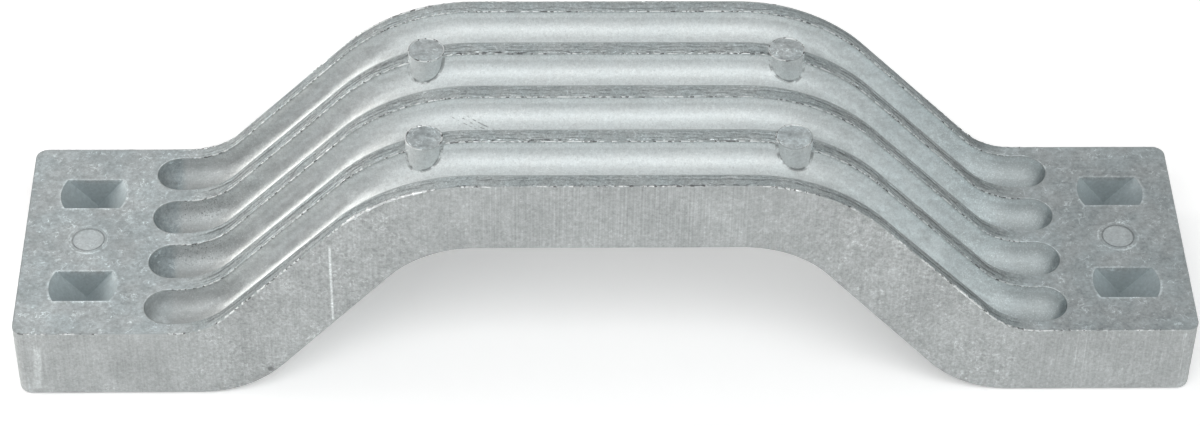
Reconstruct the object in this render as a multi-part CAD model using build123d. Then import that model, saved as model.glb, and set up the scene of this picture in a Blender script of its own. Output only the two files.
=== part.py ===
from build123d import *
from math import radians, sin, tan
import os

# Bridge-shaped sacrificial anode, one zinc casting.
# The origin is the bottom centre of the casting. X runs along the bar, Y across it, and Z is up.
# The die parts along the outline of the top surface: one half forms the top with its flutes,
# pegs and pockets, and the other half forms the upright walls and the underside.

# Overall sizes, mm
length = 230.0  # over the ends, where they meet the top of the pads
width = 54.0  # over the sides, at the top of the crown
height = 55.5  # from the feet to the top of the crown
wall_draft = 0.5  # lean of the upright walls, degrees

# Side outline, mm: each slope lies between two corners, given by their distance from mid-length
pad_thickness = 17.0
crown_thickness = 16.7
slope_foot = 77.8  # corner of slope and pad, top surface
slope_head = 41.1  # corner of slope and crown, top surface
arch_foot = 69.7  # corner of slope and foot, underside
arch_head = 35.2  # corner of slope and crown, underside
valley_radius = 14.0  # top surface, slope to pad
shoulder_radius = 36.0  # top surface, slope to crown
arch_foot_radius = 22.0
arch_head_radius = 22.0

# Edges formed by the lower die half, mm
corner_radius = 2.2  # upright corners
lower_edge_radius = 1.5  # all round the underside

# Flutes along the top surface: half-round, with round noses in the pads, mm
flute_count = 4
flute_radius = 4.7
land_width = 3.4  # ridge between two flutes
flute_length = 180.0  # along X, between the tips of a flute's noses

# Ejector pegs on the outer lands, where the crown turns into the slopes, mm
peg_diameter = 7.0
peg_station = 35.0  # from mid-length
peg_drop = 0.4  # of the pegs' flat tops below the top of the crown
peg_draft = 4.0  # degrees

# Cored pockets in the tops of the pads: flat sides, and round ends that lean in, mm
pocket_length = 13.2
pocket_width = 8.3
pocket_depth = 7.0
pocket_end_radius = 8.5
pocket_end_angle = 50.0  # of the leaning ends from the level, degrees
pocket_draft = 2.0  # lean of the sides, degrees
pocket_station = 102.4  # from mid-length
pocket_offset = 13.3  # from the centre line

# Round ejector marks between the pockets, mm
mark_diameter = 6.0
mark_depth = 0.15

# Blind fixing threads in the feet, below the ejector marks, mm
thread_size = 8.0
thread_pitch = 1.25
thread_depth = 11.0
drill_angle = 118.0  # whole angle of the drill's point, degrees
mouth_diameter = 9.0
mouth_angle = 90.0  # whole angle of the countersink, degrees

# Sizes that follow from the others
drill_radius = (thread_size - thread_pitch) / 2
flute_spacing = 2 * flute_radius + land_width
last_flute = (flute_count - 1) / 2 * flute_spacing  # of the last flutes' axes from mid-width
outer_land = last_flute - flute_spacing / 2  # of the outer lands from mid-width


def cone_height(wide_diameter, narrow_diameter, whole_angle):
    """Height of a cone's stretch between two diameters."""
    return (wide_diameter - narrow_diameter) / 2 / tan(radians(whole_angle / 2))


def mirrored(half):
    """Points of the whole outline, from the points of its right half in order of distance."""
    return [(-x, z) for x, z in reversed(half)] + half


def side_outline():
    """Face between the top surface and the underside. It runs on past the ends of the bar."""
    top = mirrored([(slope_head, height), (slope_foot, pad_thickness), (length, pad_thickness)])
    crown_underside = height - crown_thickness
    under = mirrored([(arch_head, crown_underside), (arch_foot, 0), (length, 0)])
    top_radii = [0, valley_radius, shoulder_radius, shoulder_radius, valley_radius, 0]
    under_radii = [0, arch_foot_radius, arch_head_radius, arch_head_radius, arch_foot_radius, 0]
    outline = FilletPolyline(*top, *reversed(under), radius=top_radii + under_radii, close=True)
    return make_face(outline)


def plan_prism():
    """Upright prism with rounded corners that trims the bar to its plan, leaning by the draft."""
    lean = tan(radians(wall_draft))
    foot_length = length - 2 * pad_thickness * lean
    foot_width = width - 2 * height * lean
    plan = RectangleRounded(foot_length, foot_width, corner_radius)
    return extrude(plan, amount=height, taper=-wall_draft)


def lower_rim(bar):
    """Edges where the underside meets the upright walls."""
    upright_lean = 0.1  # a face whose unit normal dips by less than this is an upright wall
    underside = bar.faces().filter_by(lambda face: face.normal_at().Z < -upright_lean)
    plan_edge = length / 2 - corner_radius
    across = underside.edges().filter_by(Axis.Y).filter_by(lambda edge: abs(edge.center().X) < plan_edge)
    return underside.edges() - across


def bar_body():
    """Bent bar without its flutes, pegs, pockets and threads."""
    bar = extrude(Plane.XZ * side_outline(), amount=width, both=True) & plan_prism()
    return fillet(lower_rim(bar), lower_edge_radius)


def flute_path():
    """Line of a flute's axis along the top surface, between the centres of its round noses."""
    nose = flute_length / 2 - flute_radius
    points = mirrored([(slope_head, height), (slope_foot, pad_thickness), (nose, pad_thickness)])
    radii = [valley_radius, shoulder_radius, shoulder_radius, valley_radius]
    return Plane.XZ * FilletPolyline(*points, radius=radii)


def flute_cutter():
    """Round bar along the flute path, with a ball at each end."""
    path = flute_path()
    start = Plane(origin=path @ 0, z_dir=path % 0)
    cutter = sweep(start * Circle(flute_radius), path=path)
    balls = [Pos(path @ end) * Sphere(flute_radius) for end in (0, 1)]
    return cutter + balls


def flute_cutters():
    """All flute cutters, side by side across the bar."""
    cutter = flute_cutter()
    return [Pos(Y=last_flute - i * flute_spacing) * cutter for i in range(flute_count)]


def pegs():
    """Tapered pegs on the outer lands, rooted at mid-depth in the crown."""
    peg_height = crown_thickness / 2
    root_radius = peg_diameter / 2 + peg_height * tan(radians(peg_draft))
    peg = Cone(root_radius, peg_diameter / 2, peg_height, align=(Align.CENTER, Align.CENTER, Align.MAX))
    tops = Pos(Z=height - peg_drop)
    return [tops * place * peg for place in GridLocations(2 * peg_station, 2 * outer_land, 2, 2)]


def pockets():
    """Cutters of the pockets: each end is an arc carried down and inward, until it meets the other."""
    sides = extrude(Rectangle(2 * pocket_length, pocket_width), amount=-pocket_depth, taper=pocket_draft)
    inward = (1, 0, -tan(radians(pocket_end_angle)))
    arc_centre = pocket_end_radius - pocket_length / 2
    slant = pocket_depth / sin(radians(pocket_end_angle))
    end = extrude(Pos(X=arc_centre) * Circle(pocket_end_radius), amount=slant, dir=inward)
    pocket = sides & end & mirror(end, about=Plane.YZ)
    tops = Pos(Z=pad_thickness)
    return [tops * place * pocket for place in GridLocations(2 * pocket_station, 2 * pocket_offset, 2, 2)]


def ejector_marks():
    """Shallow round cutters in the pad tops, one midway between each pair of pockets."""
    mark = Cylinder(mark_diameter / 2, mark_depth, align=(Align.CENTER, Align.CENTER, Align.MAX))
    return [Pos(x, 0, pad_thickness) * mark for x in (-pocket_station, pocket_station)]


def fixing_holes():
    """Cutters of the blind tapped holes: a countersunk mouth, a wall and a drill's point."""
    profile = Polyline(
        (0, 0),
        (mouth_diameter / 2, 0),
        (drill_radius, cone_height(mouth_diameter, 2 * drill_radius, mouth_angle)),
        (drill_radius, thread_depth),
        (0, thread_depth + cone_height(2 * drill_radius, 0, drill_angle)),
        close=True,
    )
    hole = revolve(make_face(Plane.XZ * profile), Axis.Z)
    return [Pos(X=x) * hole for x in (-pocket_station, pocket_station)]


def anode_casting():
    """The whole casting."""
    fluted = bar_body() - flute_cutters()
    return fluted + pegs() - pockets() - ejector_marks() - fixing_holes()


os.makedirs("parts", exist_ok=True)
export_step(anode_casting(), "parts/anode_casting.step")
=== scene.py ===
from math import pi, radians
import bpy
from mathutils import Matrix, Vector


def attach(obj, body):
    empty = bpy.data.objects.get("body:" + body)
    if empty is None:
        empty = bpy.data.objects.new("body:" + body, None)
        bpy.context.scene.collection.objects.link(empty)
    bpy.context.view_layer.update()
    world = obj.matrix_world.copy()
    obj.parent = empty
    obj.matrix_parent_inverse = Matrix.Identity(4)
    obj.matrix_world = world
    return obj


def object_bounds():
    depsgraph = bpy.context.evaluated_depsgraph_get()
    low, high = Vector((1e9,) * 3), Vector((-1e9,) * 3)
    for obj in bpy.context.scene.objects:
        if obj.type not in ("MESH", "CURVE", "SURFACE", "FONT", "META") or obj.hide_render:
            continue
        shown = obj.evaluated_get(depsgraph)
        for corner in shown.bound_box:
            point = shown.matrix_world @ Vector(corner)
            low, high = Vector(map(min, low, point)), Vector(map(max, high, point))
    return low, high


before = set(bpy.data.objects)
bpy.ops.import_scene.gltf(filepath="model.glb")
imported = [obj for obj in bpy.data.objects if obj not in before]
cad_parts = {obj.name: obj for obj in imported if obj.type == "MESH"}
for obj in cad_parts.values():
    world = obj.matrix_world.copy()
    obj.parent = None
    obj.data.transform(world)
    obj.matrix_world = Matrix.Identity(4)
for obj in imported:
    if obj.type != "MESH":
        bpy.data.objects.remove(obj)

from types import SimpleNamespace

import bpy
import numpy as np
from bpy.props import FloatProperty, FloatVectorProperty, IntProperty, PointerProperty
from mathutils import Matrix, Vector

bl_info = {
    "name": "Cast Zinc Anode",
    "version": (1, 0, 0),
    "blender": (4, 5, 0),
    "location": "3D View > Sidebar > Anode",
    "description": "Dresses a bridge-shaped sacrificial anode as cast zinc and sets a studio round it",
    "category": "Object",
}

MM = 0.001  # sizes in this script are millimetres until they go into a mesh, light or camera
CASTING = "anode_casting"
CAD_LOW, CAD_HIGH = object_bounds()
CAD_SIZE = (CAD_HIGH - CAD_LOW) / MM

# Soft boxes: azimuth from the camera's side and elevation in degrees, then distance from the aim,
# width and height in metres, and tint
AIM = Vector((0.0, 0.0, 0.02))
WHITE, WARM, COOL = (1.0, 1.0, 1.0), (1.0, 0.96, 0.93), (0.90, 1.0, 1.0)
SOFT_BOXES = {
    "top_light": (-120, 73, 1.0, 1.5, 0.8, WHITE),
    "key_light": (6, 54, 1.2, 1.4, 0.48, WHITE),
    "front_light": (6, 46, 1.2, 1.5, 1.5, WHITE),
    "left_light": (-99, 14, 0.7, 0.4, 0.35, WARM),
    "right_light": (76, 20, 1.0, 0.8, 0.5, COOL),
    "back_light": (-150, 38, 1.1, 1.0, 0.6, WHITE),
}
FLOOR_HALF = 3.0  # half the side of the paper floor in metres

# How torn the parting flash is along X: share at each place, and the smear on the left shoulder
FLASH_PLACES = (-88.0, -80.0, -62.0, -54.0, -38.0, -30.0, 44.0, 60.0, 76.0, 88.0)
FLASH_SHARES = (0.7, 2.4, 1.2, 2.6, 2.0, 1.2, 1.2, 0.9, 2.6, 1.0)
SMEAR_PLACES, SMEAR_SHARES = (-50.0, -45.0, -36.0, -32.0), (0.0, 0.9, 0.9, 0.0)
SMALL_TEARS, LARGE_TEARS = 0.5, 6.0  # spacing along the long edges

# Places of the marks that the casting has once, and of one painted highlight
# The bright spot is a painted highlight, a spot of sheen
SHEEN_SPOT = (-87.2, -19.6)  # X and Y of the bright spot in a flute's end
NICK = (-65.5, 7.2)  # X and Z of the dark nick in the front wall
SCRATCH_X, RUB_X = -52.9, -111.4  # on the front wall
SCORE_WAY, SCORE_OFFSET, SCORE_GAP = (0.453, 0.891), 15.7, 0.7  # normal of the scores, line, spacing


# Sizes and colours that a user would change

def length(name, description, size):
    """A length property with its default given in millimetres."""
    return FloatProperty(name=name, description=description, default=size * MM, min=0.0, unit="LENGTH")


def colour(name, description, default):
    return FloatVectorProperty(
        name=name, description=description, size=3, subtype="COLOR", default=default, min=0.0, max=1.0
    )


def angle(name, description, degrees):
    return FloatProperty(name=name, description=description, default=radians(degrees), subtype="ANGLE")


def level(name, description, default):
    return FloatProperty(name=name, description=description, default=default, min=0.0)


class CastingSizes(bpy.types.PropertyGroup):
    length: length("Length", "Over the ends", CAD_SIZE.x)
    width: length("Width", "Over the sides at the top of the crown", CAD_SIZE.y)
    height: length("Height", "From the feet to the top of the crown", CAD_SIZE.z)
    wall_draft: angle("Wall Draft", "Lean of the upright walls", 0.5)
    corner_radius: length("Corner Radius", "Upright corners at the feet", 2.2)
    pad_thickness: length("Pad Thickness", "Thickness of the end pads", 17.0)
    slope_foot: length("Slope Foot", "Corner of slope and pad from mid-length", 77.8)
    slope_head: length("Slope Head", "Corner of slope and crown from mid-length", 41.1)
    valley_radius: length("Valley Radius", "Bend from slope to pad", 14.0)
    shoulder_radius: length("Shoulder Radius", "Bend from slope to crown", 36.0)
    flute_radius: length("Flute Radius", "Radius of the half-round flutes", 4.7)
    land_width: length("Land Width", "Ridge between two flutes", 3.4)
    flute_length: length("Flute Length", "Between the tips of a flute's noses", 180.0)
    peg_diameter: length("Peg Diameter", "Ejector pegs at their tops", 7.0)
    peg_station: length("Peg Station", "Pegs from mid-length", 35.0)
    peg_drop: length("Peg Drop", "Peg tops below the crown", 0.4)
    pocket_length: length("Pocket Length", "Mouths of the pad pockets along the bar", 13.2)
    pocket_width: length("Pocket Width", "Mouths of the pad pockets across the bar", 8.3)
    pocket_end_radius: length("Pocket End Radius", "Arcs at the ends of the pockets' mouths", 8.5)
    pocket_station: length("Pocket Station", "Pockets from mid-length", 102.4)
    pocket_offset: length("Pocket Offset", "Pockets from the centre line", 13.3)
    mark_diameter: length("Mark Diameter", "Ejector marks in the pads", 6.0)


class BurrSizes(bpy.types.PropertyGroup):
    step: length("Step", "Spacing of the points along an edge", 0.22)
    flash_reach: length("Flash Reach", "Most that the parting flash stands out", 0.5)
    flash_rise: length("Flash Rise", "Most that the parting flash stands up", 0.3)
    lip_rise: length("Lip Rise", "Most that the burr on a flute's lip stands up", 0.26)
    peg_rise: length("Peg Rise", "Most that the burr round a peg's top stands up", 0.16)
    witness_diameter: length("Witness Diameter", "Ring round an ejector mark", 7.9)
    witness_rise: length("Witness Rise", "Most that the ring stands up", 0.06)
    seed: IntProperty(name="Seed", description="Start of the ragged edges' random draws", default=7)


class ZincFinish(bpy.types.PropertyGroup):
    flute_colour: colour("Flute Colour", "Clean satin zinc in the flutes", (0.60, 0.64, 0.645))
    pad_colour: colour("Pad Colour", "Dull zinc on the pads", (0.485, 0.522, 0.53))
    land_colour: colour("Land Colour", "Worn zinc on the lands", (0.44, 0.476, 0.48))
    wall_colour: colour("Wall Colour", "Matt zinc on the walls and the underside", (0.455, 0.477, 0.477))
    # Also tints the lit side of the left flutes as a painted warm sheen
    straw_and_sheen_colour: colour("Straw", "Tint of the warm film in the flutes", (1.0, 0.965, 0.95))
    torn_colour: colour("Torn Colour", "Bright zinc of torn flash and burrs", (0.85, 0.88, 0.88))
    # Also tints the right flutes as a painted cool sheen
    tarnish_and_sheen_colour: colour("Tarnish Colour", "Tint of the dull noses and pockets", (0.84, 0.94, 0.97))


class StudioSettings(bpy.types.PropertyGroup):
    camera_place: FloatVectorProperty(
        name="Camera Place", description="Camera in the casting's frame", size=3, subtype="TRANSLATION",
        unit="LENGTH", default=(-18.22 * MM, -514.64 * MM, 500.73 * MM),
    )
    camera_heading: angle("Camera Heading", "Turn to the right of straight ahead", 1.907)
    camera_dip: angle("Camera Dip", "Look down from the level", 42.811)
    camera_roll: angle("Camera Roll", "Turn about the line of sight", 1.115)
    camera_lens: FloatProperty(
        name="Camera Lens", description="Focal length", default=106.6, unit="CAMERA",
    )
    room_light: level("Room Light", "Radiance of the room", 0.17)
    top_light: level("Top Light", "Radiance of the soft box overhead", 0.42)
    key_light: level("Key Light", "Radiance of the strip light in front", 4.3)
    front_light: level("Front Light", "Radiance of the soft box in front", 0.2)
    left_light: level("Left Light", "Radiance of the soft box on the left", 4.9)
    right_light: level("Right Light", "Radiance of the soft box on the right", 0.75)
    back_light: level("Back Light", "Radiance of the soft box behind, on the left", 0.4)
    floor_colour: colour("Floor Colour", "Paper on the table", (0.96, 0.96, 0.96))
    floor_lift: level("Floor Lift", "Light added to the paper in view", 0.25)


def in_mm(group):
    """The group's values by name, its lengths in mm."""
    values = {}
    for name, kind in group.bl_rna.properties.items():
        if name not in {"rna_type", "name"}:
            values[name] = getattr(group, name)
            if getattr(kind, "unit", "") == "LENGTH" and not kind.is_array:
                values[name] /= MM
    return SimpleNamespace(**values)


# Meshes

def rounded_line(corners, radii, step):
    """Points and unit normals of a line with rounded corners, in the XZ plane.

    Between two bends the line is straight. A bend of radius r that turns by the angle t starts
    r * tan(t / 2) before its corner, and its points lie on the circle about the start plus r times
    the normal on the inner side. The normals are the tangents turned a quarter to the left.
    """
    corners = np.array(corners, float)
    runs = np.diff(corners, axis=0)
    lengths = np.hypot(*runs.T)
    ways = runs / lengths[:, None]
    headings = np.arctan2(ways[:, 1], ways[:, 0])
    turns = np.diff(headings)
    cuts = np.concatenate([[0.0], np.array(radii) * np.tan(np.abs(turns) / 2), [0.0]])
    points, angles = [], []
    for i, way in enumerate(ways):
        start = corners[i] + way * cuts[i]
        span = lengths[i] - cuts[i] - cuts[i + 1]
        along = np.linspace(0.0, span, max(2, int(span / step)))
        points.append(start + along[:, None] * way)
        angles.append(np.full(len(along), headings[i]))
        if i < len(turns):
            side = np.sign(turns[i])
            inner = np.array([-way[1], way[0]]) * side
            centre = points[-1][-1] + radii[i] * inner
            count = max(3, int(abs(turns[i]) * radii[i] / step))
            bend = headings[i] + turns[i] * np.linspace(0.0, 1.0, count)[1:-1]
            points.append(centre + radii[i] * side * np.stack([np.sin(bend), -np.cos(bend)], 1))
            angles.append(bend)
    angle = np.concatenate(angles)
    return np.concatenate(points), np.stack([-np.sin(angle), np.cos(angle)], 1)


def ragged(along, spacing, rng):
    """Random heights from 0 to 1 at points that lie `along` a closed edge, smooth over `spacing`."""
    total = along[-1]
    count = max(8, int(total / spacing))
    draws = rng.random(count)
    knots = np.linspace(0.0, total, count + 1)
    return np.interp(along, knots, np.append(draws, draws[0]))


def arc_length(points):
    """Distance along a closed row of points, from the first one to each."""
    steps = np.linalg.norm(np.diff(points, axis=0, append=points[:1]), axis=1)
    return np.concatenate([[0.0], np.cumsum(steps)])[:-1]


def ridge_rows(path, out, up, profile):
    """Closed tubes along a closed path: point (i, j) is path_i + a_ij * out_i + b_ij * up_i.

    `profile` holds the offsets a and b as an array of shape (points along, points round, 2).
    """
    a, b = profile[..., 0:1], profile[..., 1:2]
    return path[:, None, :] + a * out[:, None, :] + b * up[:, None, :]


def tube_faces(rows, round_count, first):
    """Quads between neighbouring points of a tube that is closed both ways."""
    i = np.arange(rows)[:, None]
    j = np.arange(round_count)[None, :]
    next_i, next_j = (i + 1) % rows, (j + 1) % round_count
    corners = [i * round_count + j, i * round_count + next_j, next_i * round_count + next_j,
               next_i * round_count + j]
    return first + np.stack(corners, -1).reshape(-1, 4)


def mesh_piece(name, tubes, torn, material):
    """Object with its place in its mesh, from tubes of points in mm, on the casting's body.

    `torn` says for each row of each tube how torn the metal is; the mesh keeps it as an attribute.
    """
    vertices, faces, first = [], [], 0
    for tube in tubes:
        rows, round_count = tube.shape[:2]
        vertices.append(tube.reshape(-1, 3))
        faces.append(tube_faces(rows, round_count, first))
        first += rows * round_count
    mesh = bpy.data.meshes.new(name)
    vertices = np.concatenate(vertices) * MM
    faces = np.concatenate(faces)
    mesh.vertices.add(len(vertices))
    mesh.vertices.foreach_set("co", vertices.ravel())
    mesh.loops.add(faces.size)
    mesh.loops.foreach_set("vertex_index", faces.ravel())
    mesh.polygons.add(len(faces))
    mesh.polygons.foreach_set("loop_start", np.arange(0, faces.size, 4))
    mesh.update(calc_edges=True)
    mesh.validate()
    shares = np.concatenate([np.repeat(share, tube.shape[1]) for share, tube in zip(torn, tubes)])
    mesh.attributes.new("torn", "FLOAT", "POINT").data.foreach_set("value", shares)
    mesh.materials.append(material)
    piece = bpy.data.objects.new(name, mesh)
    bpy.context.scene.collection.objects.link(piece)
    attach(piece, "root")


def top_line(sizes, reach, step):
    """Side view of the top surface from -reach to +reach along X: points and normals (x, z)."""
    half = [(sizes.slope_head, sizes.height), (sizes.slope_foot, sizes.pad_thickness),
            (reach, sizes.pad_thickness)]
    corners = [(-x, z) for x, z in reversed(half)] + half
    radii = [sizes.valley_radius, sizes.shoulder_radius, sizes.shoulder_radius, sizes.valley_radius]
    return rounded_line(corners, radii, step)


def flute_spacing(sizes):
    """Distance between the axes of two neighbouring flutes."""
    return 2 * sizes.flute_radius + sizes.land_width


def from_side(line, y):
    """Points (x, y, z) of a side-view line at the distance y across the bar."""
    return np.stack([line[:, 0], np.broadcast_to(y, len(line)), line[:, 1]], 1)


def outline_path(sizes, step):
    """Outline of the top surface: path, outward and upward directions.

    The walls lean out by the draft, so the outline stands width / 2 - (height - z) * tan(draft)
    from the middle plane, and the corners are quarter circles.
    """
    lean = np.tan(sizes.wall_draft)
    radius = sizes.corner_radius + sizes.pad_thickness * lean
    line, normal = top_line(sizes, sizes.length / 2 - radius, step)
    half = sizes.width / 2 - (sizes.height - line[:, 1]) * lean
    front = np.stack([line[:, 0], -half, line[:, 1]], 1)
    back = front[::-1] * (1, -1, 1)
    up_front = from_side(normal, 0.0)
    turn = np.linspace(-pi / 2, 0.0, 9)[1:]
    rows, outs, ups = [front], [np.tile((0.0, -1.0, 0.0), (len(front), 1))], [up_front]
    inset_x, inset_y, top = sizes.length / 2 - radius, half[0] - radius, sizes.pad_thickness
    for side in (1, -1):
        corner = np.array([side * inset_x, -side * inset_y, top])
        away = np.stack([side * np.cos(turn), side * np.sin(turn), np.zeros(len(turn))], 1)
        end = np.linspace(-1.0, 1.0, int(2 * inset_y / step))[1:-1]
        edge = np.stack([np.full(len(end), side * sizes.length / 2), side * end * inset_y,
                         np.full(len(end), top)], 1)
        other = away[::-1] * (1, -1, 1)
        rows += [corner + radius * away, edge, corner * (1, -1, 1) + radius * other]
        outs += [away, np.tile((float(side), 0.0, 0.0), (len(end), 1)), other]
        ups += [np.tile((0.0, 0.0, 1.0), (len(away) + len(end) + len(other), 1))]
        if side > 0:
            rows.append(back)
            outs.append(np.tile((0.0, 1.0, 0.0), (len(back), 1)))
            ups.append(up_front[::-1])
    return np.concatenate(rows), np.concatenate(outs), np.concatenate(ups)


def lip_path(sizes, axis_y, step):
    """Lips of a flute: up one side, round one nose, down the other side and round the other nose.

    Gives the path, the directions away from the flute and upward, and how torn each stretch is:
    fully along the back lip, little along the front lip and round the noses.
    """
    radius = sizes.flute_radius
    nose = sizes.flute_length / 2 - radius
    line, normal = top_line(sizes, nose, step)
    up_line = from_side(normal, 0.0)
    turn = np.linspace(pi / 2, -pi / 2, int(pi * radius / step))[1:-1]
    away = np.stack([np.cos(turn), np.sin(turn), np.zeros(len(turn))], 1)
    rows = [from_side(line, axis_y + radius), (nose, axis_y, sizes.pad_thickness) + radius * away,
            from_side(line[::-1], axis_y - radius), (-nose, axis_y, sizes.pad_thickness) - radius * away]
    outs = [np.tile((0.0, 1.0, 0.0), (len(line), 1)), away,
            np.tile((0.0, -1.0, 0.0), (len(line), 1)), -away]
    upright = np.tile((0.0, 0.0, 1.0), (len(turn), 1))
    round_nose = np.full(len(turn), 0.2)
    back = np.interp(np.abs(line[:, 0]), (sizes.slope_foot, nose), (1.0, 0.3))
    torn = np.concatenate([back, round_nose, 0.04 * back[::-1], round_nose])
    ups = [up_line, upright, up_line[::-1], upright]
    return np.concatenate(rows), np.concatenate(outs), np.concatenate(ups), torn


def ring_path(centre, radius, step):
    """Circle about the Z direction: path, outward and upward directions."""
    turn = np.linspace(0.0, 2 * pi, int(2 * pi * radius / step), endpoint=False)
    away = np.stack([np.cos(turn), np.sin(turn), np.zeros(len(turn))], 1)
    return centre + radius * away, away, np.tile((0.0, 0.0, 1.0), (len(turn), 1))


def wobbles(along, spacing, rng):
    """Four rows of random shares along an edge, to break a burr into facets."""
    return [ragged(along, spacing, rng) for _ in range(4)]


def burr_profile(rise, reach, wobble):
    """Cross-section of a burr that leans over an edge, rooted in the metal on both sides.

    `rise` and `reach` hold one value for each point along the edge, and `wobble` random shares that
    break the burr into facets. Offsets are along the outward and the upward direction.
    """
    none = np.zeros_like(rise)
    a, b, c, d = wobble
    points = [(none - 0.34, none - 0.06), ((a - 1.2) * 0.16, (0.3 + 0.5 * b) * rise),
              ((c - 0.3) * reach, rise), (reach, (0.2 + 0.4 * d) * rise),
              (0.45 * reach, none - 0.10), (none - 0.06, none - 0.28)]
    return np.stack([np.stack(point, -1) for point in points], 1)


# Materials

class Shade:
    """A shader value. Arithmetic on it adds Math nodes to its tree."""

    def __init__(self, tree, socket):
        self.tree, self.socket = tree, socket

    def _math(self, operation, *values):
        return self.tree.node("ShaderNodeMath", {"operation": operation}, dict(enumerate(values)))

    def __add__(self, other):
        return self._math("ADD", self, other)

    def __sub__(self, other):
        return self._math("SUBTRACT", self, other)

    def __rsub__(self, other):
        return self._math("SUBTRACT", other, self)

    def __mul__(self, other):
        return self._math("MULTIPLY", self, other)

    def __truediv__(self, other):
        return self._math("DIVIDE", self, other)

    def __abs__(self):
        return self._math("ABSOLUTE", self)

    def __pow__(self, other):
        return self._math("POWER", self, other)

    __radd__ = __add__
    __rmul__ = __mul__

    def over(self, other):
        """The larger of the two."""
        return self._math("MAXIMUM", self, other)

    def under(self, other):
        """The smaller of the two."""
        return self._math("MINIMUM", self, other)

    def wrapped(self, low, high):
        """The value folded back into the range from `low` to `high`."""
        return self._math("WRAP", self, high, low)

    def rises(self, low, high):
        """0 below `low`, 1 above `high`, smooth between them."""
        settings = {"interpolation_type": "SMOOTHSTEP"}
        inputs = {"Value": self, "From Min": low, "From Max": high}
        return self.tree.node("ShaderNodeMapRange", settings, inputs)

    def falls(self, low, high):
        """1 below `low`, 0 above `high`, smooth between them."""
        return 1 - self.rises(low, high)

    def between(self, start, full, fade, end):
        """0 below `start`, 1 from `full` to `fade`, 0 above `end`."""
        return self.rises(start, full) * self.falls(fade, end)

    def near(self, middle, full, end):
        """1 within `full` of `middle`, 0 farther than `end` from it."""
        return abs(self - middle).falls(full, end)


class ShadeTree:
    """The nodes of a new material or of the world."""

    def __init__(self, owner):
        owner.use_nodes = True
        self.nodes, self.links = owner.node_tree.nodes, owner.node_tree.links
        self.nodes.clear()

    def node(self, kind, settings=None, inputs=None, output=0):
        """Adds a node: settings first, then the values or links of its sockets; gives one output."""
        node = self.nodes.new(kind)
        for name, value in (settings or {}).items():
            setattr(node, name, value)
        for name, value in (inputs or {}).items():
            if isinstance(value, Shade):
                self.links.new(value.socket, node.inputs[name])
            else:
                node.inputs[name].default_value = value
        return Shade(self, node.outputs[output]) if node.outputs else node

    def point_mm(self):
        """Place on the object in mm."""
        place = self.node("ShaderNodeTexCoord", output="Object")
        return self.node("ShaderNodeVectorMath", {"operation": "SCALE"}, {0: place, "Scale": 1 / MM})

    def parts(self, vector):
        """X, Y and Z of a vector."""
        return [self.node("ShaderNodeSeparateXYZ", None, {0: vector}, axis) for axis in range(3)]

    def stretched(self, vector, factors):
        """A vector with each axis multiplied by its factor."""
        return self.node("ShaderNodeVectorMath", {"operation": "MULTIPLY"}, {0: vector, 1: factors})

    def noise(self, point, scale, detail=3.0, roughness=0.55):
        """Noise from 0 to 1, `scale` waves to the mm."""
        inputs = {"Vector": point, "Scale": scale, "Detail": detail, "Roughness": roughness}
        return self.node("ShaderNodeTexNoise", None, inputs)

    def streaks(self, point, waves, detail, roughness):
        """Noise from 0 to 1 with its own number of waves to the mm along each axis."""
        return self.noise(self.stretched(point, waves), 1.0, detail, roughness)

    def grains(self, point, scale):
        """Random value of the nearest grain, from 0 to 1."""
        cell = self.node("ShaderNodeTexVoronoi", None, {"Vector": point, "Scale": scale}, "Color")
        return self.parts(cell)[0]

    def mixed(self, factor, first, second):
        """Colour between two colours."""
        settings = {"data_type": "RGBA", "clamp_factor": True}
        return self.node("ShaderNodeMix", settings, {0: factor, 6: first, 7: second}, 2)

    def tinted(self, factor, colour, tint):
        """Colour multiplied by a tint to a share."""
        settings = {"data_type": "RGBA", "blend_type": "MULTIPLY"}
        return self.node("ShaderNodeMix", settings, {0: factor, 6: colour, 7: tint}, 2)

    def warped(self, point, scale, reach):
        """Point moved by up to half of `reach` mm in a random direction that changes slowly."""
        inputs = {"Vector": point, "Scale": scale, "Detail": 1.0}
        shift = self.node("ShaderNodeTexNoise", None, inputs, "Color")
        centred = {0: shift, 1: (0.5, 0.5, 0.5)}
        middle = self.node("ShaderNodeVectorMath", {"operation": "SUBTRACT"}, centred)
        moved = self.node("ShaderNodeVectorMath", {"operation": "SCALE"}, {0: middle, "Scale": 2 * reach})
        return self.node("ShaderNodeVectorMath", {"operation": "ADD"}, {0: point, 1: moved})

    def brighter(self, colour, gain):
        """Colour times a value."""
        return self.node("ShaderNodeVectorMath", {"operation": "SCALE"}, {0: colour, "Scale": gain})

    def bump(self, height):
        """Normal from a height in mm."""
        return self.node("ShaderNodeBump", None, {"Height": height, "Distance": MM, "Strength": 1.0})

    def surface(self, inputs):
        """Principled surface on the material's output."""
        shader = self.node("ShaderNodeBsdfPrincipled", None, inputs)
        self.node("ShaderNodeOutputMaterial", None, {"Surface": shader})


def rgba(colour):
    return (*colour, 1.0)


def distance(a, b):
    """Length of the vector (a, b) of two shader values."""
    return (a ** 2 + b ** 2) ** 0.5


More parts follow.
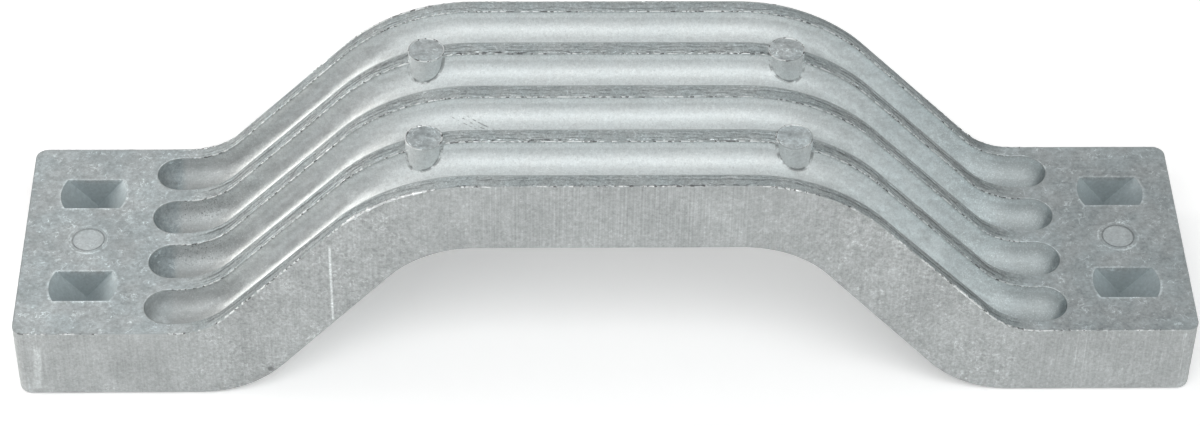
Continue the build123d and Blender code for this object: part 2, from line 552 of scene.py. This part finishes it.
def surface_zones(tree, sizes):
    """Shares from 0 to 1 of the places on the casting that look different, from Object coordinates."""
    point = tree.point_mm()
    x, y, z = tree.parts(point)
    nz = tree.parts(tree.node("ShaderNodeNewGeometry", output="Normal"))[2]
    along, across = abs(x), abs(y)
    zone = SimpleNamespace(point=point, x=x, y=y, z=z, along=along)
    foot, head = sizes.slope_foot, sizes.slope_head
    zone.upward = nz.rises(-0.004, 0.02)
    zone.wall = 1 - zone.upward
    zone.left, zone.right = x.falls(-62.0, -34.0), x.rises(34.0, 62.0)
    zone.incline = along.between(head - 10, head + 5, foot - 4, foot + 8)
    zone.bend = along.rises(foot - 14, foot - 7)
    valley = along.rises(foot - 12, foot - 4)

    # Flutes: `fold` is the distance behind the nearest flute's axis
    radius, spacing = sizes.flute_radius, flute_spacing(sizes)
    nose = sizes.flute_length / 2 - radius
    fold = (y + spacing / 2).wrapped(-spacing / 2, spacing / 2)
    zone.from_axis = abs(abs(across - spacing) - spacing / 2)
    from_flute = distance(zone.from_axis, (along - nose).over(0.0)) - radius
    hollow = from_flute.falls(-0.04, 0.02) * zone.upward
    # Band inside each flute's back lip, which the finish paints brighter as a painted highlight
    zone.lip = hollow * from_flute.rises(-0.3, -0.1) * fold.rises(0.0, 1.0)
    zone.sunny = fold.falls(-1.0, 3.5)
    zone.pitted = x.falls(-79.0, -71.0) * fold.rises(1.8, 3.8) * across.falls(10.0, 14.0)

    # Pegs: their flanks are steep and run down to a seam with the flute
    half_bend = np.arctan2(sizes.height - sizes.pad_thickness, foot - head) / 2
    shoulder = head - sizes.shoulder_radius * np.tan(half_bend)
    drop = (along - shoulder).over(0.0) ** 2 / (2 * sizes.shoulder_radius)
    from_wall = radius - distance(fold, sizes.height - drop - z)
    from_peg = distance(along - sizes.peg_station, across - spacing) - sizes.peg_diameter / 2
    zone.cap = from_peg.falls(-0.05, 0.05) * nz.rises(0.5, 0.7)
    zone.rim = from_peg.rises(-0.5, -0.15) * zone.cap
    zone.flank = from_peg.between(-0.1, 0.0, 0.55, 0.7) * nz.falls(0.1, 0.3) * zone.upward
    zone.seam = from_peg.between(0.0, 0.1, 0.45, 0.7) * from_wall.falls(0.05, 0.25) * hollow

    # Dull balls at the flutes' ends, least in the front left one, and the satin between them
    left_ball = x.falls(-nose - 1.0, 1.2 - nose) * (0.35 + 0.65 * y.rises(-15.0, -12.0))
    right_ball = (x - 0.7 * fold).rises(nose + 1.6, nose + 3.6)
    zone.ball = hollow * (left_ball + right_ball).under(1.0)
    zone.satin = (hollow - zone.ball) * (1 - zone.cap)
    zone.skin = zone.upward - zone.satin

    # Lands: a torn strip along the front edge with bright dashes that are painted glints, a dull one
    # along the back edge, and a bright line on the flutes' back lips, partly worn metal and partly a
    # painted highlight, that is crispest on the middle land and at the back rim
    crisp = across.falls(2.0, 6.0) + y.rises(19.0, 21.0)
    zone.land = zone.upward * (1 - hollow) * (1 - zone.cap) * along.falls(foot - 2, foot + 8)
    zone.land_front = zone.land * fold.between(radius + 0.1, radius + 0.3, radius + 0.5, radius + 1.0)
    zone.land_front = zone.land_front * (1 - valley) * (1 - 0.7 * crisp) * (1 - 0.7 * zone.incline)
    zone.land_back = zone.land * fold.between(
        -spacing / 2, 0.8 - spacing / 2, -radius - 1.1, -radius - 0.3)
    behind = fold.rises(-0.5, 1.5) * (1 - zone.cap) * zone.skin
    brightest = (0.25 + 0.55 * crisp + 0.7 * x.rises(50.0, 75.0) + 0.3 * valley).under(1.0)
    zone.edge_line = behind * brightest * from_flute.between(-0.03, 0.03, 0.15, 0.4)

    # Pockets and ejector marks
    pocket_x, pocket_y = along - sizes.pocket_station, across - sizes.pocket_offset
    end_radius = sizes.pocket_end_radius
    from_end = distance(abs(pocket_x) + (end_radius - sizes.pocket_length / 2), pocket_y) - end_radius
    edge = from_end.over(abs(pocket_y) - sizes.pocket_width / 2)
    zone.mouth = edge.between(-0.05, 0.05, 0.1, 0.7) * zone.skin
    zone.pocket = edge.falls(-0.05, 0.0) * zone.upward
    zone.depth = (sizes.pad_thickness - z) / sizes.pocket_width
    from_mark = distance(pocket_x, y) - sizes.mark_diameter / 2
    zone.mark = from_mark.falls(-0.1, 0.1) * zone.skin
    zone.ring = from_mark.between(-0.1, 0.1, 0.2, 0.4) * zone.skin
    zone.witness = from_mark.near(1.0, 0.1, 0.3) * zone.skin
    return zone


def skin_textures(tree, zone):
    """Noises of the casting's skin, each from -0.5 to 0.5 or from 0 to 1."""
    point = zone.point
    bent = tree.warped(point, 0.5, 1.6)
    grain = tree.noise(point, 3.4, 2.0, 0.7)
    broken = tree.noise(point, 0.5, 3.0, 0.6).rises(0.42, 0.56)
    dashes = tree.streaks(point, (0.9, 2.4, 2.4), 3.0, 0.65)
    worms = abs(tree.noise(bent, 0.55, 2.0, 0.5) - 0.5).falls(0.0, 0.03)
    roll_line = zone.from_axis + 2.2 * (tree.streaks(point, (0.16, 0.08, 0.16), 2.0, 0.6) - 0.5)
    return SimpleNamespace(
        patches=tree.noise(point, 0.10, 4.0, 0.6) - 0.5,
        blotches=tree.noise(point, 0.55, 4.0, 0.65) - 0.5,
        speckle=tree.noise(point, 1.5, 3.0, 0.7) - 0.5,
        grain=grain,
        dark_grains=grain.rises(0.56, 0.68),
        light_grains=grain.falls(0.32, 0.44),
        hue=tree.noise(point, 0.16, 2.0, 0.5).rises(0.35, 0.65),
        broken=broken,
        worms=worms * tree.noise(point, 0.35, 2.0, 0.6).rises(0.46, 0.62),
        flecks=tree.streaks(bent, (1.05, 1.5, 1.5), 2.0, 0.6).rises(0.60, 0.70),
        drag=tree.streaks(point, (2.6, 2.6, 0.07), 2.0, 0.7) - 0.5,
        lines=tree.streaks(point, (3.0, 0.0, 0.02), 0.0, 0.5) - 0.5,
        rolled=tree.streaks(point, (0.09, 2.2, 0.09), 3.0, 0.6) - 0.5,
        silk=tree.streaks(point, (0.12, 1.1, 0.5), 4.0, 0.65) - 0.5,
        dashes=dashes,
        torn=tree.streaks(point, (0.22, 0.5, 0.5), 2.0, 0.6).rises(0.44, 0.58) * dashes.rises(0.48, 0.58),
        pulled=tree.noise(point, 0.2).rises(0.4, 0.6),
        crest=roll_line.near(5.45, 0.08, 0.34) * broken,
        trough=roll_line.near(5.95, 0.05, 0.34) * broken,
    )


def single_marks(zone, tex):
    """Shares by which the marks that the casting has once, and one painted highlight, make it brighter.

    They are a painted highlight, a spot of sheen in the front left flute's end, a patch of parallel
    scores in the flutes, and on the front wall a scratch, a rub, a dark nick, lines pulled at the right
    end and upright ribs under the crown.
    """
    x, y, z = zone.x, zone.y, zone.z
    # A painted highlight: a spot of sheen in the front left flute's end
    sheen_spot = distance(x - SHEEN_SPOT[0], y - SHEEN_SPOT[1]) + 1.5 * tex.blotches
    sheen_spot = 0.45 * sheen_spot.falls(0.8, 2.6) * zone.upward

    from_score = SCORE_WAY[0] * x + SCORE_WAY[1] * y + SCORE_OFFSET
    from_line = from_score.wrapped(-SCORE_GAP / 2, SCORE_GAP / 2)
    score = from_line.near(0.0, 0.03, 0.15) * from_score.near(0.3, 0.98, 1.05)
    score = score * y.between(-6.6, -6.0, -3.4, -2.8) * tex.dashes.rises(0.50, 0.56)

    nick = distance(x - NICK[0], z - NICK[1]) + 1.5 * tex.blotches
    scratch = x.near(SCRATCH_X, 0.10, 0.34) * z.between(20.0, 21.5, 38.5, 41.5)
    rub = (x - 0.08 * z).near(RUB_X, 0.5, 1.1) * z.between(1.5, 3.0, 12.0, 14.5)
    pulls = tex.lines.rises(0.10, 0.22) * x.rises(80.0, 86.0) * tex.pulled
    ribs = tex.lines * zone.along.falls(20.0, 34.0) * z.rises(38.0, 44.0)
    front = 0.7 * scratch + 0.3 * rub + 0.25 * pulls + 0.4 * ribs - 0.5 * nick.falls(0.3, 0.8)
    return sheen_spot, -0.6 * score * zone.satin, front * zone.wall * y.falls(-20.0, -15.0)


def cast_zinc(sizes, finish):
    """Die-cast zinc: satin in the flutes, duller and speckled on the lands and pads, matt and
    mottled on the walls, with worn pocket mouths, smooth ejector marks and rough valley bends.
    Some light and shade is painted into the colour as well, as the shares below say."""
    material = bpy.data.materials.new("cast_zinc")
    tree = ShadeTree(material)
    zone = surface_zones(tree, sizes)
    tex = skin_textures(tree, zone)
    incline, bend, left, right = zone.incline, zone.bend, zone.left, zone.right
    satin, wall, land, pocket = zone.satin, zone.wall, zone.land, zone.pocket
    skin = zone.skin * (1 - 0.85 * pocket) * (1 - 0.6 * zone.mark)
    rough_wall = wall * (0.55 + 0.65 * incline)
    sparkle = tex.speckle.rises(-0.1, 0.1)

    # Base tones and tints
    colour = rgba(finish.flute_colour)
    for share, tone in ((zone.skin, finish.pad_colour), (land, finish.land_colour),
                        (wall, finish.wall_colour), (zone.flank, finish.flute_colour)):
        colour = tree.mixed(share, colour, rgba(tone))
    # Tarnish on the balls, pockets and patches of skin, and on the right flutes a painted cool sheen
    tarnish_and_cool_sheen = (0.3 * zone.ball + 0.5 * pocket + 0.3 * tex.hue * skin + 0.25 * satin * right).under(1.0)
    # Warm film in the flutes, and on the lit side of the left flutes a painted warm sheen
    straw_and_warm_sheen = satin * (0.25 * tex.hue + 0.5 * tex.light_grains + 0.75 * left * zone.sunny).under(1.0)
    colour = tree.tinted(tarnish_and_cool_sheen, colour, rgba(finish.tarnish_and_sheen_colour))
    colour = tree.tinted(straw_and_warm_sheen, colour, rgba(finish.straw_and_sheen_colour))

    # Each share makes the metal brighter, or darker where it is negative
    shares = [
        # Mottling of the whole skin
        tex.patches * (0.10 + 0.45 * skin + 0.35 * wall),
        tex.blotches * (0.16 + 0.55 * skin + 0.45 * rough_wall),
        tex.speckle * (0.45 + 0.60 * skin + 0.60 * rough_wall),
        (0.6 * tex.worms + 0.16 * tex.flecks) * (skin - 0.5 * land + 0.5 * rough_wall),
        tex.dark_grains * (-0.14 * satin - 0.30 * land - 0.14 * wall - 0.45 * zone.pitted * satin),
        # The extra bright grains in the right bends are in part a painted highlight
        tex.light_grains * (0.30 * land + 0.10 * wall + satin * (0.13 + (0.12 + 0.10 * right) * bend)),
        0.40 * tex.drag * wall,
        # Painted shade: the skin is darker towards the right end, where less of the light from the left
        # falls; the balls are dull and the lands on the slopes darker
        -0.10 * zone.ball - 0.15 * zone.x.rises(60.0, 100.0) * skin - 0.17 * land * incline,
        # Flutes and their lips
        0.07 * satin * (1 - incline) * (1 - bend),
        tex.silk * satin * (0.25 + 0.5 * incline),
        # Painted light: the flutes on the left are painted darker as shade, and those on the right
        # brighter as a highlight
        0.05 * satin * right - 0.13 * satin * left * (1 - 0.7 * bend),
        -0.25 * (satin + zone.ball) * zone.along.rises(75.0, 83.0),
        # Painted highlight: the band inside each flute's back lip is painted brighter
        (0.2 - 0.1 * incline) * zone.lip,
        # The bright line on the back lips is partly worn metal and partly a painted highlight, strongest
        # on the right slope
        zone.edge_line * (0.25 + 0.65 * tex.broken),
        # Lands: rolled lines, a shallow fold, and their two edges
        tex.rolled * land * (0.2 + 1.2 * incline),
        # On the fold, the crest is painted lighter and the trough darker, a painted highlight and painted
        # shade on top of the bump
        land * (0.35 + 0.65 * incline) * (0.35 * tex.crest - 0.32 * tex.trough),
        # The bright dashes along the lands' front edges are painted glints; the dark torn bits are the
        # metal's own
        zone.land_front * (1.3 * tex.dashes.falls(0.35, 0.41) - 0.8 * tex.torn),
        zone.land_back * (-0.12 - 0.14 * incline),
        land * zone.y.falls(-22.0, -21.0) * (-0.05 - 0.04 * incline),
        # Pockets, ejector marks and pegs
        0.3 * zone.mouth * (0.5 + tex.broken),
        # Painted shade: the pockets are darker the deeper they go
        pocket * (0.06 - 0.4 * zone.depth),
        # The dark ring round each ejector mark is painted shade at its step
        0.18 * zone.mark - 0.5 * zone.ring * (0.4 + 0.6 * sparkle) + 0.35 * zone.witness * tex.broken,
        0.7 * zone.cap * tex.blotches,
        # Painted light on the pegs: each cap's rim is painted brighter as a highlight, and the seam with
        # the flute darker as shade in the crease
        0.35 * zone.rim * sparkle - 0.5 * zone.seam * tex.broken - 0.05 * zone.flank,
        *single_marks(zone, tex),
    ]
    gain = 1.0
    for share in shares:
        gain = (1 + share) * gain

    rough = (0.46 + 0.20 * skin + 0.20 * wall + 0.25 * tex.blotches + 0.15 * tex.silk
             + satin * (0.12 + 0.06 * bend - 0.22 * left * incline))
    height = (0.05 * (tex.blotches + 0.5) * (0.2 + skin + 0.7 * wall)
              + 0.03 * (tex.speckle + 0.5) * (0.5 + skin + 0.6 * wall)
              + 0.04 * tex.grain * (land + 0.4 * bend * satin)
              + 0.10 * (tex.crest - tex.trough) * land)
    tree.surface({
        "Base Color": tree.brighter(colour, gain),
        "Metallic": 0.35 + satin * (0.10 + 0.25 * left * incline),
        "Roughness": rough,
        "Normal": tree.bump(height),
    })
    return material


def torn_zinc(finish):
    """Broken metal of flash and burrs: bright zinc where torn, its grains painted bright and dark as
    glints and shaded facets, land grey elsewhere.
    """
    material = bpy.data.materials.new("torn_zinc")
    tree = ShadeTree(material)
    torn = tree.node("ShaderNodeAttribute", {"attribute_name": "torn"}, None, "Fac")
    grains = tree.grains(tree.point_mm(), 1.7)
    # Painted glints and shade: grains of the torn metal painted bright and dark
    sparkle = (grains + 0.35 * torn).rises(0.25, 0.65)
    bright = tree.brighter(tuple(finish.torn_colour), 0.8 * sparkle + 0.2)
    share = torn.rises(0.06, 0.3)
    tree.surface({
        "Base Color": tree.mixed(share, rgba(finish.land_colour), bright),
        "Metallic": 0.5 + 0.2 * share,
        "Roughness": 0.5 - 0.2 * share * grains,
    })
    return material


def made_material(name, maker, *args):
    """The named material, made once."""
    return bpy.data.materials.get(name) or maker(*args)


# Operators

def settings_of(scene):
    """Sizes of the casting, sizes of the burrs and the finish, with lengths in mm."""
    return in_mm(scene.anode_sizes), in_mm(scene.anode_burrs), in_mm(scene.anode_finish)


class ANODE_OT_zinc(bpy.types.Operator):
    """Give the casting its die-cast zinc finish"""
    bl_idname = "anode.zinc"
    bl_label = "Zinc Finish"
    bl_options = {"REGISTER", "UNDO"}

    def execute(self, context):
        sizes, _, finish = settings_of(context.scene)
        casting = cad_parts[CASTING]
        for slot in casting.material_slots:
            slot.material = made_material("cast_zinc", cast_zinc, sizes, finish)
        return {"FINISHED"}


class ANODE_OT_flash(bpy.types.Operator):
    """Add the ragged flash along the parting line, the outline of the top surface"""
    bl_idname = "anode.flash"
    bl_label = "Parting Flash"
    bl_options = {"REGISTER", "UNDO"}

    def execute(self, context):
        sizes, burrs, finish = settings_of(context.scene)
        rng = np.random.default_rng(burrs.seed)
        path, out, up = outline_path(sizes, burrs.step)
        along = arc_length(path)
        run = 0.1 + 1.1 * ragged(along, SMALL_TEARS, rng) ** 2
        run = run * ragged(along, LARGE_TEARS, rng) ** 1.2
        x, y = path[:, 0], path[:, 1]
        share = np.interp(x, FLASH_PLACES, FLASH_SHARES)
        side = np.where(y < 0, 1.0, 0.25)
        end = np.where(np.abs(out[:, 0]) > 0.5, 0.15, 1.0)
        smear = np.interp(x, SMEAR_PLACES, SMEAR_SHARES)
        torn = (run * share + smear) * side * end
        profile = burr_profile(burrs.flash_rise * (0.05 + torn), burrs.flash_reach * (0.05 + torn),
                               wobbles(along, 0.6, rng))
        material = made_material("torn_zinc", torn_zinc, finish)
        mesh_piece("parting_flash", [ridge_rows(path, out, up, profile)], [torn], material)
        return {"FINISHED"}


class ANODE_OT_lips(bpy.types.Operator):
    """Add the fine burrs along the lips of the flutes"""
    bl_idname = "anode.lips"
    bl_label = "Flute Lips"
    bl_options = {"REGISTER", "UNDO"}

    def execute(self, context):
        sizes, burrs, finish = settings_of(context.scene)
        rng = np.random.default_rng(burrs.seed + 1)
        spacing = flute_spacing(sizes)
        tubes, shares = [], []
        for place in (-1.5, -0.5, 0.5, 1.5):
            path, out, up, weight = lip_path(sizes, place * spacing, burrs.step)
            along = arc_length(path)
            torn = weight * ragged(along, SMALL_TEARS, rng)
            torn = torn * (0.2 + 0.8 * ragged(along, LARGE_TEARS, rng))
            rise = burrs.lip_rise * (0.03 + torn)
            profile = burr_profile(rise, 0.8 * rise, wobbles(along, 0.6, rng))
            tubes.append(ridge_rows(path, -out, up, profile))
            shares.append(torn)
        mesh_piece("flute_lips", tubes, shares, made_material("torn_zinc", torn_zinc, finish))
        return {"FINISHED"}


class ANODE_OT_peg_burrs(bpy.types.Operator):
    """Add the burrs round the tops of the ejector pegs"""
    bl_idname = "anode.peg_burrs"
    bl_label = "Peg Burrs"
    bl_options = {"REGISTER", "UNDO"}

    def execute(self, context):
        sizes, burrs, finish = settings_of(context.scene)
        rng = np.random.default_rng(burrs.seed + 2)
        spacing = flute_spacing(sizes)
        tubes, shares = [], []
        for x in (-sizes.peg_station, sizes.peg_station):
            for y in (-spacing, spacing):
                centre = (x, y, sizes.height - sizes.peg_drop)
                path, out, up = ring_path(centre, sizes.peg_diameter / 2, burrs.step)
                along = arc_length(path)
                torn = ragged(along, 2.0, rng) ** 2
                rise = burrs.peg_rise * (0.05 + torn)
                profile = burr_profile(rise, rise, wobbles(along, 1.2, rng))
                tubes.append(ridge_rows(path, out, up, profile))
                shares.append(torn)
        mesh_piece("peg_burrs", tubes, shares, made_material("torn_zinc", torn_zinc, finish))
        return {"FINISHED"}


class ANODE_OT_witnesses(bpy.types.Operator):
    """Add the faint raised rings round the ejector marks"""
    bl_idname = "anode.witnesses"
    bl_label = "Ejector Witnesses"
    bl_options = {"REGISTER", "UNDO"}

    def execute(self, context):
        sizes, burrs, finish = settings_of(context.scene)
        rng = np.random.default_rng(burrs.seed + 3)
        tubes, shares = [], []
        for x in (-sizes.pocket_station, sizes.pocket_station):
            centre = (x, 0.0, sizes.pad_thickness)
            path, out, up = ring_path(centre, burrs.witness_diameter / 2, burrs.step)
            along = arc_length(path)
            torn = ragged(along, 1.2, rng)
            rise = burrs.witness_rise * (0.2 + 0.8 * torn)
            profile = burr_profile(rise, rise, wobbles(along, 1.2, rng))
            tubes.append(ridge_rows(path, out, up, profile))
            shares.append(torn)
        material = made_material("cast_zinc", cast_zinc, sizes, finish)
        mesh_piece("ejector_witnesses", tubes, shares, material)
        return {"FINISHED"}


def soft_box(name, radiance, azimuth, elevation, reach, width, height, tint):
    """Rectangular light that faces the aim from a direction in degrees, its power from its radiance."""
    azimuth, elevation = radians(azimuth), radians(elevation)
    data = bpy.data.lights.new(name, "AREA")
    data.shape = "RECTANGLE"
    data.size, data.size_y = width, height
    data.energy = radiance * pi * width * height
    data.color = tint
    light = bpy.data.objects.new(name, data)
    flat = np.cos(elevation)
    way = Vector((np.sin(azimuth) * flat, -np.cos(azimuth) * flat, np.sin(elevation)))
    light.location = AIM + reach * way
    light.rotation_euler = way.to_track_quat("Z", "Y").to_euler()
    bpy.context.scene.collection.objects.link(light)


class ANODE_OT_stage(bpy.types.Operator):
    """Set the paper floor, the lights, the room and the camera"""
    bl_idname = "anode.stage"
    bl_label = "Studio"
    bl_options = {"REGISTER", "UNDO"}

    def execute(self, context):
        studio = context.scene.anode_studio
        self.floor(studio)
        self.room(context.scene, studio)
        self.camera(context.scene, studio)
        for name, place in SOFT_BOXES.items():
            soft_box(name, getattr(studio, name), *place)
        context.scene.view_settings.view_transform = "Standard"
        return {"FINISHED"}

    def seen(self, tree):
        """1 for rays from the eye, straight or by a mirror or glass, else 0."""
        rays = [tree.node("ShaderNodeLightPath", output=kind)
                for kind in ("Is Camera Ray", "Is Glossy Ray", "Is Transmission Ray")]
        return rays[0].over(rays[1]).over(rays[2])

    def floor(self, studio):
        corners = [(a * FLOOR_HALF, b * FLOOR_HALF, 0.0) for a, b in ((-1, -1), (1, -1), (1, 1), (-1, 1))]
        mesh = bpy.data.meshes.new("floor")
        mesh.from_pydata(corners, [], [(0, 1, 2, 3)])
        paper = bpy.data.materials.new("paper")
        tree = ShadeTree(paper)
        sheet = tree.node("ShaderNodeBsdfDiffuse", None, {"Color": rgba(studio.floor_colour)})
        glow = tree.node("ShaderNodeEmission", None, {"Strength": self.seen(tree) * studio.floor_lift})
        both = tree.node("ShaderNodeAddShader", None, {0: sheet, 1: glow})
        tree.node("ShaderNodeOutputMaterial", None, {"Surface": both})
        mesh.materials.append(paper)
        floor = bpy.data.objects.new("floor", mesh)
        bpy.context.scene.collection.objects.link(floor)

    def room(self, scene, studio):
        scene.world = bpy.data.worlds.new("room")
        tree = ShadeTree(scene.world)
        inputs = {"Color": rgba((1.0, 1.0, 1.0)), "Strength": studio.room_light}
        light = tree.node("ShaderNodeBackground", None, inputs)
        tree.node("ShaderNodeOutputWorld", None, {"Surface": light})

    def camera(self, scene, studio):
        data = bpy.data.cameras.new("camera")
        data.sensor_fit, data.sensor_width = "HORIZONTAL", 36.0
        data.lens = studio.camera_lens
        camera = bpy.data.objects.new("camera", data)
        turn = (Matrix.Rotation(-studio.camera_heading, 4, "Z")
                @ Matrix.Rotation(pi / 2 - studio.camera_dip, 4, "X")
                @ Matrix.Rotation(studio.camera_roll, 4, "Z"))
        camera.matrix_world = Matrix.Translation(Vector(studio.camera_place)) @ turn
        scene.collection.objects.link(camera)
        scene.camera = camera


PIECES = (ANODE_OT_zinc, ANODE_OT_flash, ANODE_OT_lips, ANODE_OT_peg_burrs, ANODE_OT_witnesses,
          ANODE_OT_stage)
SETTINGS = {
    "anode_sizes": CastingSizes,
    "anode_burrs": BurrSizes,
    "anode_finish": ZincFinish,
    "anode_studio": StudioSettings,
}


class ANODE_PT_panel(bpy.types.Panel):
    """Buttons for the casting's pieces and the studio"""
    bl_idname = "ANODE_PT_panel"
    bl_label = "Zinc Anode"
    bl_space_type = "VIEW_3D"
    bl_region_type = "UI"
    bl_category = "Anode"

    def draw(self, context):
        for group in SETTINGS:
            box = self.layout.box()
            for name in getattr(context.scene, group).bl_rna.properties.keys():
                if name not in {"rna_type", "name"}:
                    box.prop(getattr(context.scene, group), name)
        for piece in PIECES:
            self.layout.operator(piece.bl_idname)


def register():
    for group in SETTINGS.values():
        bpy.utils.register_class(group)
    for name, group in SETTINGS.items():
        setattr(bpy.types.Scene, name, PointerProperty(type=group))
    for piece in PIECES:
        bpy.utils.register_class(piece)
    bpy.utils.register_class(ANODE_PT_panel)


def unregister():
    bpy.utils.unregister_class(ANODE_PT_panel)
    for piece in reversed(PIECES):
        bpy.utils.unregister_class(piece)
    for name, group in SETTINGS.items():
        delattr(bpy.types.Scene, name)
        bpy.utils.unregister_class(group)


def main():
    register()
    for piece in PIECES:
        group, action = piece.bl_idname.split(".")
        getattr(getattr(bpy.ops, group), action)()


if __name__ == "__main__":
    main()
